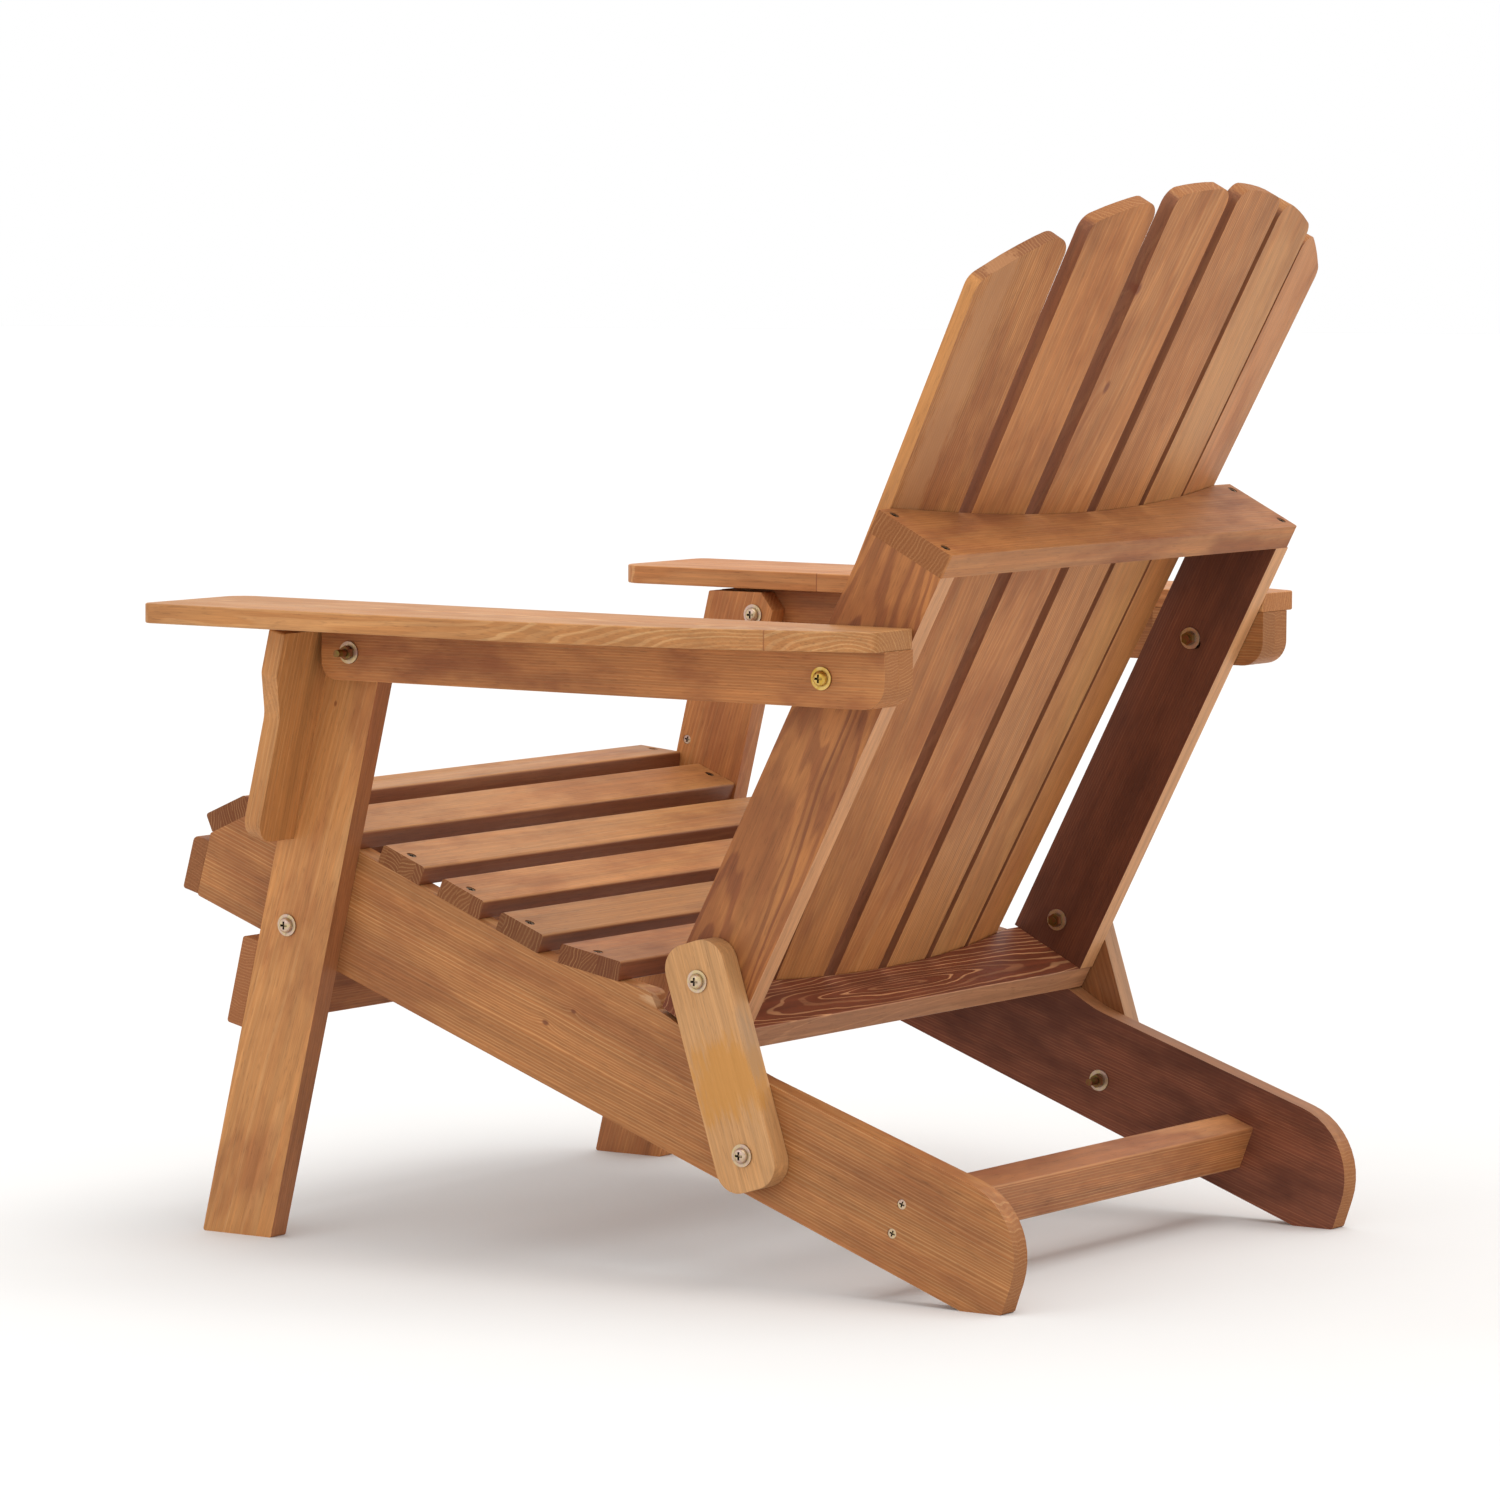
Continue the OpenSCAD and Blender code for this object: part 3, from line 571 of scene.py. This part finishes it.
def metal_material(name, base, tint, rough, zones=()):
    """Plated steel: a soft sheen, cloudy plating, faint brush marks, dull spots, and painted shade darkening
    the recesses.
    """
    made, g = empty_material(name)
    place = g.node("ShaderNodeTexCoord").outputs["Object"]
    cloud = g.noise(place, (160, 160, 160), 3.0, 0.6)
    scratch = g.noise(place, (900, 2600, 700), 2.0, 0.6)
    spot = g.step(g.noise(place, (700, 700, 700), 2.0, 0.5), 0.58, 0.7)
    colour = g.mix(g.step(cloud, 0.35, 0.65), shown(base), shown(tint))
    colour = g.mix(g.math("MULTIPLY", spot, 0.35), colour, shown([value * 0.5 for value in base]))
    sideways = g.math("ABSOLUTE", g.split(place)[0])
    for start, end, first, second in zones:
        other = g.mix(g.step(cloud, 0.4, 0.6), shown(first), shown(second))
        colour = g.mix(g.step(sideways, start, end), colour, other)
    # painted shade: the plating turns dark where ambient occlusion finds a recess
    open_sky = g.node("ShaderNodeAmbientOcclusion", {"Distance": RECESS_REACH}, samples=8).outputs["AO"]
    colour = g.mix(g.step(open_sky, 0.35, 0.85, 0.92, 0.0), colour, shown(RECESS_SHADE))
    level = g.math("MULTIPLY_ADD", cloud, 0.16, g.math("MULTIPLY_ADD", spot, 0.15, rough))
    bump = g.node("ShaderNodeBump", {"Strength": 0.25, "Distance": 0.03 * MM, "Height": scratch})
    finish_material(g, colour, level, bump.outputs[0], {"Metallic": 0.85})
    return made


ZINC = metal_material("zinc_plate", PINK_ZINC, PALE_ZINC, 0.3)
ZINC_OUT = metal_material("zinc_nuts_outside", PINK_ZINC, PALE_ZINC, 0.3, [NUTS_OUTSIDE])
ZINC_IN = metal_material("zinc_nuts_inside", PINK_ZINC, PALE_ZINC, 0.3, [NUTS_INSIDE])
BRASSY = metal_material("yellow_heads", PINK_ZINC, PALE_ZINC, 0.28, [NUTS_INSIDE, YELLOW_HEADS])
DARK_STEEL = metal_material("dark_screw", DULL, DULL_BROWN, 0.36)
METALS = {
    "leg_bolts": ZINC_IN,
    "arm_front_bolts": ZINC_OUT,
    "link_lower_bolts": ZINC_IN,
    "link_upper_bolts": ZINC_IN,
    "stretcher_screws": ZINC,
    "bracket_screws": ZINC,
    "arm_rear_bolt_left": BRASSY,
    "arm_rear_bolt_right": BRASSY,
    "seat_screws": DARK_STEEL,
    "brace_screws": DARK_STEEL,
}


# ---------------------------------------------------------------- finishing every piece
def soften(obj, radius, segments):
    """Joins the facets of a CAD mesh, rounds its sharp edges, and closes what the rounding left open."""
    weld = obj.modifiers.new("weld", "WELD")
    weld.merge_threshold = MERGE
    flat = obj.modifiers.new("flat", "DECIMATE")
    flat.decimate_type = "DISSOLVE"
    flat.angle_limit = FLAT_ANGLE
    round_off = obj.modifiers.new("round", "BEVEL")
    round_off.width = radius
    round_off.segments = segments
    round_off.limit_method = "ANGLE"
    round_off.angle_limit = SHARP_ANGLE
    round_off.use_clamp_overlap = True
    round_off.harden_normals = True
    sew = obj.modifiers.new("sew", "WELD")
    sew.merge_threshold = MERGE


for name, obj in nodes.items():
    metal = METALS.get(name)
    finish = metal or wood_material(name, obj)
    if not obj.material_slots:
        obj.data.materials.append(finish)
    for slot in obj.material_slots:
        slot.material = finish
    if metal:
        soften(obj, METAL_RADIUS, METAL_SEGMENTS)
    else:
        soften(obj, SLAT_RADIUS if name.startswith("back_slat_") else EDGE_RADIUS, BOARD_SEGMENTS)


# ---------------------------------------------------------------- studio
def stage_material(name, rgb, rough):
    """A matt surface, faintly clouded."""
    made = bpy.data.materials.new(name)
    made.use_nodes = True
    shader = made.node_tree.nodes["Principled BSDF"]
    g = Graph(made.node_tree)
    grain = g.noise(g.node("ShaderNodeTexCoord").outputs["Object"], (2.0, 2.0, 2.0), 3.0)
    darker = shown([value - 2 for value in rgb])
    g.put(shader.inputs["Base Color"], g.mix(g.step(grain, 0.3, 0.7), shown(rgb), darker))
    shader.inputs["Roughness"].default_value = rough
    shader.inputs["Specular IOR Level"].default_value = 0.2
    return made


FLOOR_RADIUS = 30.0
mesh = bmesh.new()
bmesh.ops.create_circle(mesh, cap_ends=True, segments=96, radius=FLOOR_RADIUS)
floor_data = bpy.data.meshes.new("floor")
mesh.to_mesh(floor_data)
mesh.free()
floor = bpy.data.objects.new("floor", floor_data)
bpy.context.scene.collection.objects.link(floor)
floor.data.materials.append(stage_material("pale_floor", (226, 225, 223), 0.9))

world = bpy.data.worlds.new("studio")
bpy.context.scene.world = world
world.use_nodes = True
background = world.node_tree.nodes["Background"]
background.inputs["Color"].default_value = (1.0, 1.0, 1.0, 1.0)
background.inputs["Strength"].default_value = 1.0


def hang(light, place, way):
    """Puts a light in the scene, shining one way."""
    holder = bpy.data.objects.new(light.name, light)
    holder.location = place
    holder.rotation_mode = "QUATERNION"
    holder.rotation_quaternion = Vector(way).to_track_quat("-Z", "Y")
    bpy.context.scene.collection.objects.link(holder)


MIDDLE = Vector((0.0, 0.0, 0.4))
SIDE_PLACE = Vector((4.2, -1.2, 2.2))
side_box = bpy.data.lights.new("side", "AREA")
side_box.shape = "DISK"
side_box.size = 1.6
side_box.energy = 14
hang(side_box, SIDE_PLACE, MIDDLE - SIDE_PLACE)

# one broad soft light from above, the same all over the floor
OVERHEAD_WAY = (0.1, -0.22, -1.0)
OVERHEAD_SPREAD = math.radians(50)
overhead = bpy.data.lights.new("overhead", "SUN")
overhead.energy = 1.35
overhead.angle = OVERHEAD_SPREAD
hang(overhead, (0.0, 0.0, 0.0), OVERHEAD_WAY)

# ---------------------------------------------------------------- camera
# fitted to the straight edges and pivots of the chair in the photo
CAMERA_PLACE = Vector((4.73176, 3.09945, 0.88002))
YAW, PITCH, ROLL = -2.556163, -0.083475, 0.005646
FOCAL_LENGTH, FILM_WIDTH = 165.68, 36.0  # millimetres
SHIFT_RIGHT, SHIFT_UP = 0.00109, -0.00893  # in widths of the picture
ahead = Vector((math.cos(YAW) * math.cos(PITCH), math.sin(YAW) * math.cos(PITCH), math.sin(PITCH)))
level_right = ahead.cross(Vector((0, 0, 1))).normalized()
level_up = level_right.cross(ahead)
right = level_right * math.cos(ROLL) + level_up * math.sin(ROLL)
up = level_up * math.cos(ROLL) - level_right * math.sin(ROLL)
camera_data = bpy.data.cameras.new("camera")
camera_data.lens = FOCAL_LENGTH
camera_data.sensor_width = FILM_WIDTH
camera_data.shift_x = SHIFT_RIGHT
camera_data.shift_y = SHIFT_UP
camera = bpy.data.objects.new("camera", camera_data)
camera.matrix_world = Matrix.Translation(CAMERA_PLACE) @ Matrix((right, up, -ahead)).transposed().to_4x4()
bpy.context.scene.collection.objects.link(camera)
bpy.context.scene.camera = camera
bpy.context.scene.view_settings.view_transform = "Standard"
